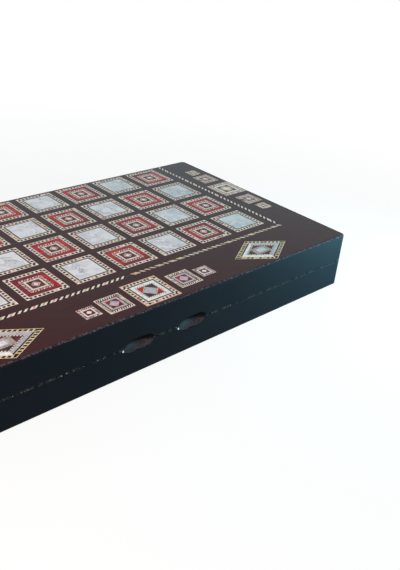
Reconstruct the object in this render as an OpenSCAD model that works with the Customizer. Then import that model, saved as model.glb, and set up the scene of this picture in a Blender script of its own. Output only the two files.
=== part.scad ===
// Folding wooden backgammon board, closed, with half a chess field inlaid on each outer face.
// The underside of the closed board is at z = 0, the hinge is at the rear (+Y), and X runs along the hinge.

/* [Case] */
// Length of the closed board, along the hinge
board_len = 480; // [430:2:540]
// Depth of the closed board, from the hinge to the front
board_depth = 252; // [222:2:290]
// Height of each half, from its outer face to its rim
half_h = 28.5; // [24:0.5:40]
// Thickness of the four rails round each half
rail_t = 12; // [10:0.5:16]
// Thickness of the panel that closes each half
panel_t = 5; // [4:0.5:8]
// Radius of the upright corners
corner_r = 5; // [3:0.5:8]
// Radius of the long edges round each outer face
edge_r = 1.5; // [0.8:0.1:2]
// Radius of the outer edge of each rim
rim_r = 0.8; // [0.4:0.1:1.2]
// Radius of the inner edge of each rim
lip_r = 1; // [0.4:0.1:1.5]
// Gap between the two rims when the board is closed
seam_gap = 0.3; // [0.1:0.05:0.6]
// Gap between the two rear faces when the board lies open
back_gap = 0.5; // [0.3:0.1:1]

/* [Finger notches] */
// Distance of each notch from the middle of the front
notch_x = 29.3; // [24:0.5:60]
// Length of a notch on the front face
notch_len = 32; // [24:1:40]
// Height of a notch across both halves
notch_h = 12; // [8:0.5:16]
// Depth of a notch into the front rails
notch_depth = 7; // [5:0.5:8]

/* [Outer veneer] */
// Thickness of the outer veneer and of what is inlaid in it
veneer_t = 0.6; // [0.4:0.1:1]
// Glue line round each inlaid piece
inlay_gap = 0.05; // [0.02:0.01:0.1]

/* [Chess field] */
// Width of the border on each side of the chess field
side_border = 49.6; // [46:0.2:70]
// Width of the border in front of the chess field
front_border = 61.6; // [53:0.2:80]
// Width of a square with its banding
square_w = 39.8; // [34:0.2:42]
// Width of the banding round a square
banding_w = 4.6; // [2:0.2:6]
// Distance from the chess field to the middle of the rope border
rope_offset = 7.6; // [4:0.1:8]
// Width of the rope border
rope_w = 3.4; // [1.6:0.2:4]

/* [Front ornaments] */
// Distance from the front edge to the large ornament
front_margin = 4.8; // [2:0.2:12]
// Width of the large ornament in the middle
front_large = 37.6; // [30:0.2:42]
// Width of the two medium ornaments
front_medium = 24.3; // [18:0.1:28]
// Width of the two small ornaments
front_small = 15.5; // [10:0.1:18]
// Distance from the middle to a medium ornament
front_medium_off = 37.4; // [36:0.2:40]
// Distance from the middle to a small ornament
front_small_off = 61.8; // [60:0.2:70]
// Distance from the side edge to the middle of a rhombus
rhomb_inset = 102.6; // [85:0.2:125]
// Distance from the front edge to the lower tip of a rhombus
rhomb_margin = 2.8; // [1.6:0.1:9]
// Half of a rhombus's long diagonal
rhomb_long = 35.8; // [25:0.1:38]
// Half of a rhombus's short diagonal
rhomb_short = 21.6; // [12:0.1:22]

/* [Side ornaments] */
// Distance from the side edge to the large ornament
side_margin = 1.5; // [1.5:0.1:4]
// Width of the large ornament on each side
side_large = 33; // [24:0.2:36]
// Width of the medium ornaments
side_medium = 21.9; // [16:0.1:26]
// Width of the small ornaments
side_small = 13.9; // [8:0.1:16]
// Distance from the large ornament to a medium one
side_medium_off = 35.2; // [33:0.2:40]
// Distance from the large ornament to a small one
side_small_off = 57.6; // [56:0.2:70]

/* [Playing field] */
// Thickness of the sheet on the floor of each tray
sheet_t = 0.8; // [0.6:0.1:1.5]
// Clearance between the sheet and the rails
sheet_gap = 0.2; // [0.1:0.05:0.5]
// Length of a point
point_len = 185; // [140:5:210]
// Space between two points at their bases
point_space = 4; // [2:0.5:8]
// Space between a point's base and the edge of the sheet
point_margin = 3; // [1:0.5:6]

/* [Hinges] */
// Distance from the side of the board to the middle of a hinge
hinge_inset = 90; // [50:5:150]
// Length of a hinge
hinge_len = 40; // [30:1:60]
// Number of knuckles on a hinge
knuckles = 5; // [3:2:5]
// Width of a leaf, from the middle of its pin
leaf_w = 9.5; // [8.5:0.1:10]
// Thickness of a leaf
leaf_t = 1; // [0.8:0.1:1.2]
// Radius of a knuckle
knuckle_r = 2.2; // [2:0.1:2.6]
// Radius of the pin
pin_r = 1; // [0.8:0.05:1.2]
// Running clearance round the pin
pin_gap = 0.05; // [0.02:0.01:0.1]
// Space between a knuckle and what turns past it
knuckle_gap = 0.3; // [0.2:0.05:0.5]
// Space between a leaf and its mortise
mortise_gap = 0.1; // [0.05:0.05:0.2]

/* [Screws] */
// Radius of a screw's shank
screw_r = 1.25; // [1:0.05:1.5]
// Radius of a screw's head
head_r = 2.2; // [1.9:0.1:2.4]
// Height of the countersunk head
head_h = 0.7; // [0.5:0.1:0.7]
// Length of a screw
screw_len = 9; // [7:0.5:12]
// Distance from one screw to the next
screw_pitch = 14; // [10:0.5:17]
// Distance from a leaf's far edge to the middle of its screws
screw_edge = 3.6; // [3.2:0.1:4]
// Clearance round a screw
screw_gap = 0.05; // [0.02:0.01:0.1]
// Width of the slot in a head
slot_w = 0.5; // [0.4:0.1:0.7]
// Depth of the slot in a head
slot_d = 0.35; // [0.2:0.05:0.4]

/* [Hidden] */
$fn = 64;

// Colours
lacquer_black = "#1a2026";
ground_brown = "#4a2d2b";
pearl_white = "#cfd6d8";
mosaic_red = "#a02a22";
banding_cream = "#d8c9a0";
motif_grey = "#b9a9a0";
sheet_walnut = "#5a3220";
point_maple = "#d9b27a";
point_rosewood = "#7a2018";
brass_yellow = "#b08d45";
steel_grey = "#8f9499";

// Chess field of eight columns and four rows inside the borders, which runs up to the hinge
columns = 8;
rows = 4;
field_half = board_len / 2 - side_border;
field_front = front_border - board_depth / 2;
field_mid = front_border / 2;
column_pitch = 2 * field_half / columns;
row_pitch = (board_depth / 2 - field_front) / rows;

// Heights in one half, which lies on its outer face at z = 0
panel_top = veneer_t + panel_t;
rail_h = half_h - panel_top;
closed_h = 2 * half_h + seam_gap;

// The hinge axis is half way between the two rims and the two rear faces
axis_y = board_depth / 2 + back_gap / 2;
axis_z = half_h + seam_gap / 2;

hinge_x = board_len / 2 - hinge_inset;

// Middle of the row of ornaments at the front, of a rhombus and of the row at each side
front_y = front_margin + front_large / 2 - board_depth / 2;
rhomb_x = board_len / 2 - rhomb_inset;
rhomb_y = rhomb_margin + rhomb_short - board_depth / 2;
side_x = board_len / 2 - side_margin - side_large / 2;

// Disc cutter that mills the notches: its rim is a half round of notch_h
cutter_r = (pow(notch_len / 2, 2) + pow(notch_depth, 2)) / (2 * notch_depth);

// Playing field inside the rails, with six points at each end of a tray
point_count = 6;
tray_half = board_len / 2 - rail_t;
tray_side = board_depth / 2 - rail_t;
point_pitch = 2 * tray_side / point_count;
point_half = (point_pitch - point_space) / 2;

knuckle_len = hinge_len / knuckles;

// How far a cutter runs past what it cuts
past = 1;

// What a round edge of radius r takes off a square corner at the origin
module corner_waste(r) {
    difference() {
        translate([-r, -past])
            square([r + past, r + past]);
        translate([-r, r])
            circle(r);
    }
}

// Half of a section through one half of the case, out to its side
module case_section(reach) {
    difference() {
        square([reach, half_h]);
        translate([reach, 0])
            corner_waste(edge_r);
        translate([reach, half_h])
            mirror([0, 1])
                corner_waste(rim_r);
    }
}

// Solid block with the outer shape of one half
module case_block() {
    run_x = board_len - 2 * corner_r;
    run_y = board_depth - 2 * corner_r;
    for (turn = [0, 180])
        rotate([0, 0, turn]) {
            rotate([90, 0, 90])
                linear_extrude(run_x, center = true)
                    case_section(board_depth / 2);
            rotate([90, 0, 0])
                linear_extrude(run_y, center = true)
                    case_section(board_len / 2);
            translate([run_x / 2, run_y / 2, 0])
                rotate_extrude(angle = 90)
                    case_section(corner_r);
            translate([run_x / 2, -run_y / 2, 0])
                rotate([0, 0, -90])
                    rotate_extrude(angle = 90)
                        case_section(corner_r);
        }
}

module upper_place() {
    translate([0, 0, closed_h])
        mirror([0, 0, 1])
            children();
}

// Plan of a rail with ends mitred at 45 degrees, cut from a block that ends at long and cross
module mitre_plan(long, cross) {
    polygon([
        [-long - past, cross + past],
        [long + past, cross + past],
        [long - rail_t, cross - rail_t],
        [-long + rail_t, cross - rail_t],
    ]);
}

// The rail at the rear of the block, or after a turn at another side, with a round inner lip
module rail(turn, long, cross) {
    difference() {
        intersection() {
            case_block();
            translate([0, 0, panel_top])
                linear_extrude(rail_h + past)
                    rotate(turn)
                        mitre_plan(long, cross);
        }
        rotate([0, 0, turn])
            translate([0, cross - rail_t, half_h])
                rotate([90, 0, 90])
                    linear_extrude(2 * long, center = true)
                        rotate(180)
                            corner_waste(lip_r);
    }
}

module panel() {
    intersection() {
        case_block();
        translate([0, 0, veneer_t + panel_t / 2])
            cube([2 * board_len, 2 * board_depth, panel_t], center = true);
    }
}

module notch_cutter() {
    rotate_extrude() {
        translate([cutter_r - notch_h / 2, 0])
            circle(notch_h / 2);
        translate([0, -notch_h / 2])
            square([cutter_r - notch_h / 2, notch_h]);
    }
}

module front_rail() {
    difference() {
        rail(180, board_len / 2, board_depth / 2);
        for (side = [-1, 1])
            translate([side * notch_x, -board_depth / 2 - cutter_r + notch_depth, axis_z])
                notch_cutter();
    }
}

module side_rail(turn) {
    rail(turn, board_depth / 2, board_len / 2);
}

// Places at the two hinges
module at_hinges() {
    for (side = [-1, 1])
        translate([side * hinge_x, axis_y, axis_z])
            children();
}

// Places at the screws of one leaf, on the rim
module at_screws() {
    for (step = [-1, 0, 1])
        translate([step * screw_pitch, screw_edge - leaf_w, half_h - axis_z])
            children();
}

// A cylinder along X
module rod(r, length) {
    rotate([0, 90, 0])
        cylinder(r = r, h = length, center = true);
}

module hinge_rail() {
    difference() {
        rail(0, board_len / 2, board_depth / 2);
        at_hinges() {
            rod(knuckle_r + knuckle_gap, hinge_len + 2 * knuckle_gap);
            translate([-hinge_len / 2 - mortise_gap, -leaf_w - mortise_gap, half_h - axis_z - leaf_t])
                cube([hinge_len + 2 * mortise_gap, leaf_w + mortise_gap + past, leaf_t + past]);
            at_screws()
                translate([0, 0, -screw_len])
                    cylinder(r = screw_r + screw_gap, h = screw_len);
        }
    }
}

// The outer layer of the block, as thick as the veneer, over a plan
module veneer_layer() {
    intersection() {
        case_block();
        linear_extrude(veneer_t)
            children();
    }
}

// Plan of the ground inside the middle of the rope border, moved in or out by grow
module field_plan(grow) {
    half = field_half + rope_offset + grow;
    front = field_front - rope_offset - grow;
    translate([-half, front])
        square([2 * half, board_depth]);
}

module square_plans(w) {
    for (i = [0 : columns - 1], j = [0 : rows - 1])
        square_plan(i, j, w);
}

module square_plan(i, j, w) {
    translate([(i + 0.5) * column_pitch - field_half, board_depth / 2 - (j + 0.5) * row_pitch])
        square(w, center = true);
}

// Squares whose column and row add up to an odd or an even number
module parity_plans(parity, w) {
    for (i = [0 : columns - 1], j = [0 : rows - 1])
        if ((i + j) % 2 == parity)
            square_plan(i, j, w);
}

module ornament_row(large, medium, small, medium_off, small_off, grow) {
    square(large + 2 * grow, center = true);
    for (side = [-1, 1]) {
        translate([side * medium_off, 0])
            square(medium + 2 * grow, center = true);
        translate([side * small_off, 0])
            square(small + 2 * grow, center = true);
    }
}

module front_plan(grow = 0) {
    translate([0, front_y])
        ornament_row(front_large, front_medium, front_small, front_medium_off, front_small_off, grow);
}

module side_plan(grow = 0) {
    for (side = [-1, 1])
        translate([side * side_x, field_mid])
            rotate(90)
                ornament_row(side_large, side_medium, side_small, side_medium_off, side_small_off, grow);
}

// The rhombus's sides move out by grow
module rhomb_plan(grow = 0) {
    edge = norm([rhomb_long, rhomb_short]);
    half_x = rhomb_long + grow * edge / rhomb_short;
    half_y = rhomb_short + grow * edge / rhomb_long;
    for (side = [-1, 1])
        translate([side * rhomb_x, rhomb_y])
            polygon([[-half_x, 0], [0, -half_y], [half_x, 0], [0, half_y]]);
}

module field_veneer() {
    veneer_layer()
        difference() {
            field_plan(-rope_w / 2 - inlay_gap);
            square_plans(square_w + 2 * inlay_gap);
        }
}

// The border veneer is three strips, mitred from the rope's corner to the board's corner
function mitre_in() = [field_half, -field_front] + (rope_offset + rope_w / 2 + inlay_gap) * [1, 1];
function mitre_out() = [board_len / 2 + past, board_depth / 2 + past];

module front_border_veneer() {
    near = mitre_in();
    far = mitre_out();
    veneer_layer()
        difference() {
            polygon([[-far.x, -far.y], [far.x, -far.y], [near.x, -near.y], [-near.x, -near.y]]);
            front_plan(inlay_gap);
            rhomb_plan(inlay_gap);
        }
}

module side_border_veneer(side) {
    near = mitre_in();
    far = mitre_out();
    veneer_layer()
        difference() {
            scale([side, 1])
                polygon([[far.x, -far.y], [far.x, far.y], [near.x, far.y], [near.x, -near.y]]);
            side_plan(inlay_gap);
        }
}

module rope_border() {
    veneer_layer()
        difference() {
            field_plan(rope_w / 2);
            field_plan(-rope_w / 2);
        }
}

module square_bandings() {
    linear_extrude(veneer_t)
        difference() {
            square_plans(square_w);
            square_plans(square_w - 2 * banding_w);
        }
}

module field_squares(parity) {
    linear_extrude(veneer_t)
        parity_plans(parity, square_w - 2 * banding_w - 2 * inlay_gap);
}

module front_ornaments() {
    linear_extrude(veneer_t)
        front_plan();
}

module side_ornaments() {
    linear_extrude(veneer_t)
        side_plan();
}

module corner_rhombuses() {
    linear_extrude(veneer_t)
        rhomb_plan();
}

// A point's sides and base move out by grow
module point_plan(grow) {
    edge = norm([point_len, point_half]);
    tip = point_len + grow * edge / point_half;
    half = point_half / point_len * (tip + grow);
    polygon([[-grow, -half], [-grow, half], [tip, 0]]);
}

// The points of one shade at both ends of a tray, which alternate and differ across the tray
module shade_plans(parity, grow) {
    base = tray_half - sheet_gap - point_margin;
    for (end = [0, 1], k = [0 : point_count - 1])
        if ((end + k) % 2 == parity)
            rotate(end * 180)
                translate([-base, (k + 0.5) * point_pitch - tray_side])
                    point_plan(grow);
}

module playing_sheet() {
    translate([0, 0, panel_top])
        linear_extrude(sheet_t)
            difference() {
                square([2 * (tray_half - sheet_gap), 2 * (tray_side - sheet_gap)], center = true);
                shade_plans(0, inlay_gap);
                shade_plans(1, inlay_gap);
            }
}

module shade_points(parity) {
    translate([0, 0, panel_top])
        linear_extrude(sheet_t)
            shade_plans(parity, 0);
}

// A leaf with the knuckles whose number is odd or even
module leaf(parity) {
    difference() {
        union() {
            translate([-hinge_len / 2, -leaf_w, half_h - axis_z - leaf_t])
                cube([hinge_len, leaf_w, leaf_t]);
            knuckle_row(parity, knuckle_r, -knuckle_gap / 2);
        }
        knuckle_row(1 - parity, knuckle_r + knuckle_gap, knuckle_gap / 2);
        rod(pin_r + pin_gap, hinge_len + 2 * past);
        at_screws()
            screw_hole();
    }
}

// The knuckles of one leaf, each longer by grow at both ends
module knuckle_row(parity, r, grow) {
    for (k = [0 : knuckles - 1])
        if (k % 2 == parity)
            translate([(k + 0.5) * knuckle_len - hinge_len / 2, 0, 0])
                rod(r, knuckle_len + 2 * grow);
}

module screw_hole() {
    translate([0, 0, -head_h])
        cylinder(r1 = screw_r + screw_gap, r2 = head_r + screw_gap, h = head_h);
    translate([0, 0, -leaf_t - past])
        cylinder(r = screw_r + screw_gap, h = leaf_t + past);
}

module screw() {
    difference() {
        union() {
            translate([0, 0, -head_h])
                cylinder(r1 = screw_r, r2 = head_r, h = head_h);
            translate([0, 0, -screw_len])
                cylinder(r = screw_r, h = screw_len - head_h);
        }
        cube([3 * head_r, slot_w, 2 * slot_d], center = true);
    }
}

module hinge_leaf(side, parity) {
    translate([side * hinge_x, axis_y, axis_z])
        leaf(parity);
}

module hinge_pin(side) {
    translate([side * hinge_x, axis_y, axis_z])
        rod(pin_r, hinge_len);
}

module hinge_screws() {
    at_hinges()
        at_screws()
            screw();
}

module lower_panel() { color(lacquer_black) panel(); }
module lower_front_rail() { color(lacquer_black) front_rail(); }
module lower_hinge_rail() { color(lacquer_black) hinge_rail(); }
module lower_left_rail() { color(lacquer_black) side_rail(90); }
module lower_right_rail() { color(lacquer_black) side_rail(-90); }
module lower_field_veneer() { color(ground_brown) field_veneer(); }
module lower_front_border() { color(ground_brown) front_border_veneer(); }
module lower_left_border() { color(ground_brown) side_border_veneer(-1); }
module lower_right_border() { color(ground_brown) side_border_veneer(1); }
module lower_square_bandings() { color(banding_cream) square_bandings(); }
module lower_pearl_squares() { color(pearl_white) field_squares(1); }
module lower_red_squares() { color(mosaic_red) field_squares(0); }
module lower_rope_border() { color(banding_cream) rope_border(); }
module lower_front_ornaments() { color(motif_grey) front_ornaments(); }
module lower_side_ornaments() { color(motif_grey) side_ornaments(); }
module lower_corner_rhombuses() { color(motif_grey) corner_rhombuses(); }
module lower_playing_sheet() { color(sheet_walnut) playing_sheet(); }
module lower_light_points() { color(point_maple) shade_points(0); }
module lower_dark_points() { color(point_rosewood) shade_points(1); }
module upper_panel() { color(lacquer_black) upper_place() panel(); }
module upper_front_rail() { color(lacquer_black) upper_place() front_rail(); }
module upper_hinge_rail() { color(lacquer_black) upper_place() hinge_rail(); }
module upper_left_rail() { color(lacquer_black) upper_place() side_rail(90); }
module upper_right_rail() { color(lacquer_black) upper_place() side_rail(-90); }
module upper_field_veneer() { color(ground_brown) upper_place() field_veneer(); }
module upper_front_border() { color(ground_brown) upper_place() front_border_veneer(); }
module upper_left_border() { color(ground_brown) upper_place() side_border_veneer(-1); }
module upper_right_border() { color(ground_brown) upper_place() side_border_veneer(1); }
module upper_square_bandings() { color(banding_cream) upper_place() square_bandings(); }
module upper_pearl_squares() { color(pearl_white) upper_place() field_squares(0); }
module upper_red_squares() { color(mosaic_red) upper_place() field_squares(1); }
module upper_rope_border() { color(banding_cream) upper_place() rope_border(); }
module upper_front_ornaments() { color(motif_grey) upper_place() front_ornaments(); }
module upper_side_ornaments() { color(motif_grey) upper_place() side_ornaments(); }
module upper_corner_rhombuses() { color(motif_grey) upper_place() corner_rhombuses(); }
module upper_playing_sheet() { color(sheet_walnut) upper_place() playing_sheet(); }
module upper_light_points() { color(point_maple) upper_place() shade_points(0); }
module upper_dark_points() { color(point_rosewood) upper_place() shade_points(1); }
module left_hinge_lower_leaf() { color(brass_yellow) hinge_leaf(-1, 0); }
module left_hinge_upper_leaf() { color(brass_yellow) upper_place() hinge_leaf(-1, 1); }
module left_hinge_pin() { color(steel_grey) hinge_pin(-1); }
module right_hinge_lower_leaf() { color(brass_yellow) hinge_leaf(1, 0); }
module right_hinge_upper_leaf() { color(brass_yellow) upper_place() hinge_leaf(1, 1); }
module right_hinge_pin() { color(steel_grey) hinge_pin(1); }
module lower_hinge_screws() { color(brass_yellow) hinge_screws(); }
module upper_hinge_screws() { color(brass_yellow) upper_place() hinge_screws(); }

lower_panel();
lower_front_rail();
lower_hinge_rail();
lower_left_rail();
lower_right_rail();
lower_field_veneer();
lower_front_border();
lower_left_border();
lower_right_border();
lower_square_bandings();
lower_pearl_squares();
lower_red_squares();
lower_rope_border();
lower_front_ornaments();
lower_side_ornaments();
lower_corner_rhombuses();
lower_playing_sheet();
lower_light_points();
lower_dark_points();
upper_panel();
upper_front_rail();
upper_hinge_rail();
upper_left_rail();
upper_right_rail();
upper_field_veneer();
upper_front_border();
upper_left_border();
upper_right_border();
upper_square_bandings();
upper_pearl_squares();
upper_red_squares();
upper_rope_border();
upper_front_ornaments();
upper_side_ornaments();
upper_corner_rhombuses();
upper_playing_sheet();
upper_light_points();
upper_dark_points();
left_hinge_lower_leaf();
left_hinge_upper_leaf();
left_hinge_pin();
right_hinge_lower_leaf();
right_hinge_upper_leaf();
right_hinge_pin();
lower_hinge_screws();
upper_hinge_screws();
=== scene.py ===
# %% [markdown]
# # A folding backgammon board, dressed in marquetry
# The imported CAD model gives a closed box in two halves, with hinges at the rear and a tray inside each
# half. This lesson loads it as a fixed frame, sets up a plain studio, makes the finishes, and then lays the
# marquetry: chess squares, a rope border and ornaments. They could be painted on as one pattern. Here they
# are cut from small flat pieces, as the real ones are, because their joints then stay sharp from any
# distance.

import bpy
import numpy as np
from mathutils import Matrix, Vector
from mathutils.geometry import delaunay_2d_cdt


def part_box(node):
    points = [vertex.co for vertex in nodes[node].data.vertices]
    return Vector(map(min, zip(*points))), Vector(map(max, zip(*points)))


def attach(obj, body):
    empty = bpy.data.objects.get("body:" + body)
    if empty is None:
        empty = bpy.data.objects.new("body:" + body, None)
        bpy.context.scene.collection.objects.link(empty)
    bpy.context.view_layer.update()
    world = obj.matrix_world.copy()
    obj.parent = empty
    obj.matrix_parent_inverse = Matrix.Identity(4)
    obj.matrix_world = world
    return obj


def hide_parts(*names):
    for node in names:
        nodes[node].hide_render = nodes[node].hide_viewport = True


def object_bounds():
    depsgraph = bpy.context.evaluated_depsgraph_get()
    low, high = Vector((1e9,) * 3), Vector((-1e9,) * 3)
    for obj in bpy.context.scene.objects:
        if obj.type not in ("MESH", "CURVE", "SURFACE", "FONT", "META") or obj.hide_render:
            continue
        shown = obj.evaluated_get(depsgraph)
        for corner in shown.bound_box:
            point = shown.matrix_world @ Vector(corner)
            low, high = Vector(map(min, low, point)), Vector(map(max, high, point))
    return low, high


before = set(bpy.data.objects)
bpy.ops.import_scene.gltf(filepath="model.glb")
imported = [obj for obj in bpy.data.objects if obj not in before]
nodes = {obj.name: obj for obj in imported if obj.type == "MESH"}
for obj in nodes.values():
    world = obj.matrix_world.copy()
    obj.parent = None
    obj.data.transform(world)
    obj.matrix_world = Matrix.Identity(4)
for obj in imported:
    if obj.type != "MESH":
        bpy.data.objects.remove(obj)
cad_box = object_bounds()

MM = 0.001
half_x, half_y, top_z = cad_box[1].x / MM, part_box("upper_panel")[1].y / MM, cad_box[1].z / MM
print(f"{len(nodes)} nodes, {2 * half_x:.0f} x {2 * half_y:.0f} x {top_z:.1f} mm")

# %% [markdown]
# ## Camera
# The photograph was taken from the front left, a little above, with the camera slightly rolled. A camera
# can be placed by eye or worked out from the picture. This one comes from fitting a pinhole camera to the
# corners of the chess squares and the edges of the box, because long straight rows show even a small error.

# %% Camera
EYE = Vector((-337.3, -490.0, 349.3)) * MM
AIM = Vector((76.3, -84.6, 30.0)) * MM
ROLL = np.radians(5.56)
FOCAL_PX, FRAME_PX = 706.0, 570
SENSOR_MM = 36
NEAREST, FARTHEST = 0.01, 50

lens = bpy.data.cameras.new("camera")
lens.sensor_width = SENSOR_MM
lens.lens = FOCAL_PX / FRAME_PX * SENSOR_MM
lens.clip_start, lens.clip_end = NEAREST, FARTHEST
camera = bpy.data.objects.new("camera", lens)
bpy.context.scene.collection.objects.link(camera)
camera.matrix_world = (
    Matrix.Translation(EYE)
    @ (AIM - EYE).to_track_quat("-Z", "Y").to_matrix().to_4x4()
    @ Matrix.Rotation(ROLL, 4, "Z")
)
bpy.context.scene.camera = camera
print(f"lens {lens.lens:.1f} mm, {(AIM - EYE).length:.2f} m from the board")

# %% [markdown]
# ## Colours and nodes
# Colours are written as the hex values of a paint chart, which are sRGB, and the shader wants linear light.
# Every shader below is a chain of nodes. They could be joined by hand in the editor, but a helper that adds
# a node, sets it up and links it in keeps a long chain readable.

# %% Helpers for colours and nodes
def linear(colour):
    """A hex colour in linear light: each channel c becomes c / 12.92 where it is darkest, and elsewhere
    ((c + 0.055) / 1.055) to the power 2.4."""
    c = np.array([int(colour[i : i + 2], 16) for i in (1, 3, 5)]) / 255
    return *np.where(c <= 0.04045, c / 12.92, ((c + 0.055) / 1.055) ** 2.4), 1.0


def feed(node, sockets):
    """Gives each socket of a node its value, or a link where that is another node's output."""
    for key, value in sockets.items():
        if isinstance(value, bpy.types.NodeSocket):
            node.id_data.links.new(value, node.inputs[key])
        else:
            node.inputs[key].default_value = value


def add(tree, kind, sockets=None, **settings):
    """Adds a node with its settings and feeds its sockets."""
    made = tree.nodes.new(kind)
    for key, value in settings.items():
        setattr(made, key, value)
    feed(made, sockets or {})
    return made


print("a mid grey in linear light is", round(float(linear("#808080")[0]), 3))

# %% [markdown]
# Blender's new material comes with nodes of its own, which could be changed one by one. Here it starts from
# an empty tree with one Principled shader, which can stand for lacquer, wood and metal alike, so that each
# finish below only says what differs.

# %% Helper for materials
def new_material(name):
    """A new material, its node tree, its Principled shader, which is linked up, and the place of a point."""
    material = bpy.data.materials.new(name)
    material.use_nodes = True
    tree = material.node_tree
    tree.nodes.clear()
    shader = add(tree, "ShaderNodeBsdfPrincipled")
    add(tree, "ShaderNodeOutputMaterial", {"Surface": shader.outputs[0]})
    return material, tree, shader, add(tree, "ShaderNodeTexCoord").outputs["Object"]


print("ready for", len(nodes), "nodes")

# %% [markdown]
# ## Studio
# The photograph shows no room, only white. A brighter lamp could wash the background out, but it would
# bleach the board too. So the room is plain grey light for the board, and plain white for every ray that
# only looks: one from the camera, one from a reflection, and one through a clear surface.

# %% Room
ROOM, WHITE = linear("#9ba1a4"), (1, 1, 1, 1)


def looking(tree):
    """1 for a ray from the camera, a reflection or a clear surface, and 0 for a ray that carries light."""
    ray = add(tree, "ShaderNodeLightPath").outputs
    seen = ray["Is Camera Ray"]
    for kind in ("Is Glossy Ray", "Is Transmission Ray"):
        seen = add(tree, "ShaderNodeMath", {0: seen, 1: ray[kind]}, operation="MAXIMUM").outputs[0]
    return seen


bpy.context.scene.view_settings.view_transform = "Standard"
world = bpy.data.worlds.new("room")
bpy.context.scene.world = world
world.use_nodes = True
tree = world.node_tree
tree.nodes.clear()
light = add(tree, "ShaderNodeBackground", {"Color": ROOM, "Strength": 1}).outputs[0]
white = add(tree, "ShaderNodeBackground", {"Color": WHITE, "Strength": 1}).outputs[0]
room = add(tree, "ShaderNodeMixShader", {0: looking(tree), 1: light, 2: white}).outputs[0]
add(tree, "ShaderNodeOutputWorld", {"Surface": room})
print("plain room")

# %% [markdown]
# The board stands on a large white sheet. A plane with square corners would do as well, but a disc ends at
# the same distance on every side: its rim is the cosine and the sine of equal turns, times the radius. It
# lies a hair below the board, so that the two faces don't flicker.

# %% White sheet
SHEET_R, SHEET_GAP, SHEET_SIDES = 4000 * MM, 0.2 * MM, 64

turn = np.linspace(0, 2 * np.pi, SHEET_SIDES, endpoint=False)
rim = np.c_[np.cos(turn), np.sin(turn), np.zeros(SHEET_SIDES)] * SHEET_R - (0, 0, SHEET_GAP)
sheet_mesh = bpy.data.meshes.new("sheet")
sheet_mesh.from_pydata(rim.tolist(), [], [list(range(SHEET_SIDES))])
sheet = bpy.data.objects.new("sheet", sheet_mesh)
bpy.context.scene.collection.objects.link(sheet)
print("white sheet", SHEET_R, "m in radius")

# %% [markdown]
# The paper glows plain white to every ray that only looks, and is lit paper to all others. Pure glow would
# lose the shadow under the board, so near the board a share of the lit paper is left in, and it fades out
# further away. From below the sheet is clear, so the underside can be looked at.

# %% Paper of the sheet
PAPER, PAPER_ROUGH = linear("#f4f4f4"), 0.9
NEAR_SHARE, NEAR_R, FAR_R = 0.85, 300 * MM, 700 * MM

paper, tree, shader, place = new_material("white paper sheet")
feed(shader, {"Base Color": PAPER, "Roughness": PAPER_ROUGH, "Specular IOR Level": 0.0})
glow = add(tree, "ShaderNodeEmission", {"Color": WHITE, "Strength": 1}).outputs[0]
away = add(tree, "ShaderNodeVectorMath", {0: place}, operation="LENGTH").outputs["Value"]
fade = {"Value": away, "From Min": NEAR_R, "From Max": FAR_R, "To Min": NEAR_SHARE}
fade = add(tree, "ShaderNodeMapRange", fade).outputs[0]
share = add(tree, "ShaderNodeMath", {0: looking(tree), 1: fade}, operation="MULTIPLY").outputs[0]
lit = add(tree, "ShaderNodeMixShader", {0: share, 1: shader.outputs[0], 2: glow}).outputs[0]
below = add(tree, "ShaderNodeNewGeometry").outputs["Backfacing"]
clear = add(tree, "ShaderNodeBsdfTransparent").outputs[0]
sided = add(tree, "ShaderNodeMixShader", {0: below, 1: lit, 2: clear}).outputs[0]
feed(tree.nodes["Material Output"], {"Surface": sided})
sheet_mesh.materials.append(paper)
print("lit paper within", NEAR_R, "m")

# %% [markdown]
# In the photograph the board turns from brown black at the left to blue black at the right. One warm lamp
# at the near left gives the direction of the light. A small cool one at the front right lifts the black
# front there, and a large cool one behind the board is what the lacquer of the top mirrors at a low angle.
# Points would throw hard shadows, so the lamps are square areas, with the soft edge of a studio's light
# boxes.

# %% Lamps
def lamp(name, place, size, watts, colour):
    """A square area lamp at a place in metres, turned to the middle of the board."""
    data = bpy.data.lights.new(name, "AREA")
    data.size, data.energy, data.color = size, watts, linear(colour)[:3]
    made = bpy.data.objects.new(name, data)
    bpy.context.scene.collection.objects.link(made)
    made.location = place
    made.rotation_euler = (-Vector(place)).to_track_quat("-Z", "Y").to_euler()
    made.visible_camera = False


lamp("near left lamp", place=(-0.62, -0.36, 0.5), size=0.5, watts=6, colour="#ffe8de")
lamp("front right lamp", place=(0.38, -0.28, 0.06), size=0.1, watts=3.6, colour="#98ecff")
lamp("rear right lamp", place=(1.15, 1.2, 0.62), size=1.5, watts=10, colour="#8ce0ee")
print(len(bpy.data.lights), "lamps")

# %% [markdown]
# ## Lacquer of the case
# The rails and the edges of the panels are sprayed with a blue black lacquer over fibreboard, and the trays
# are lined with walnut. Each face could have its own material, but a CAD node is one mesh, so one material
# serves the whole rail: it measures how far a point lies inside the outer faces. Wood grain is a noise that
# is stretched along the board.

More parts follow.
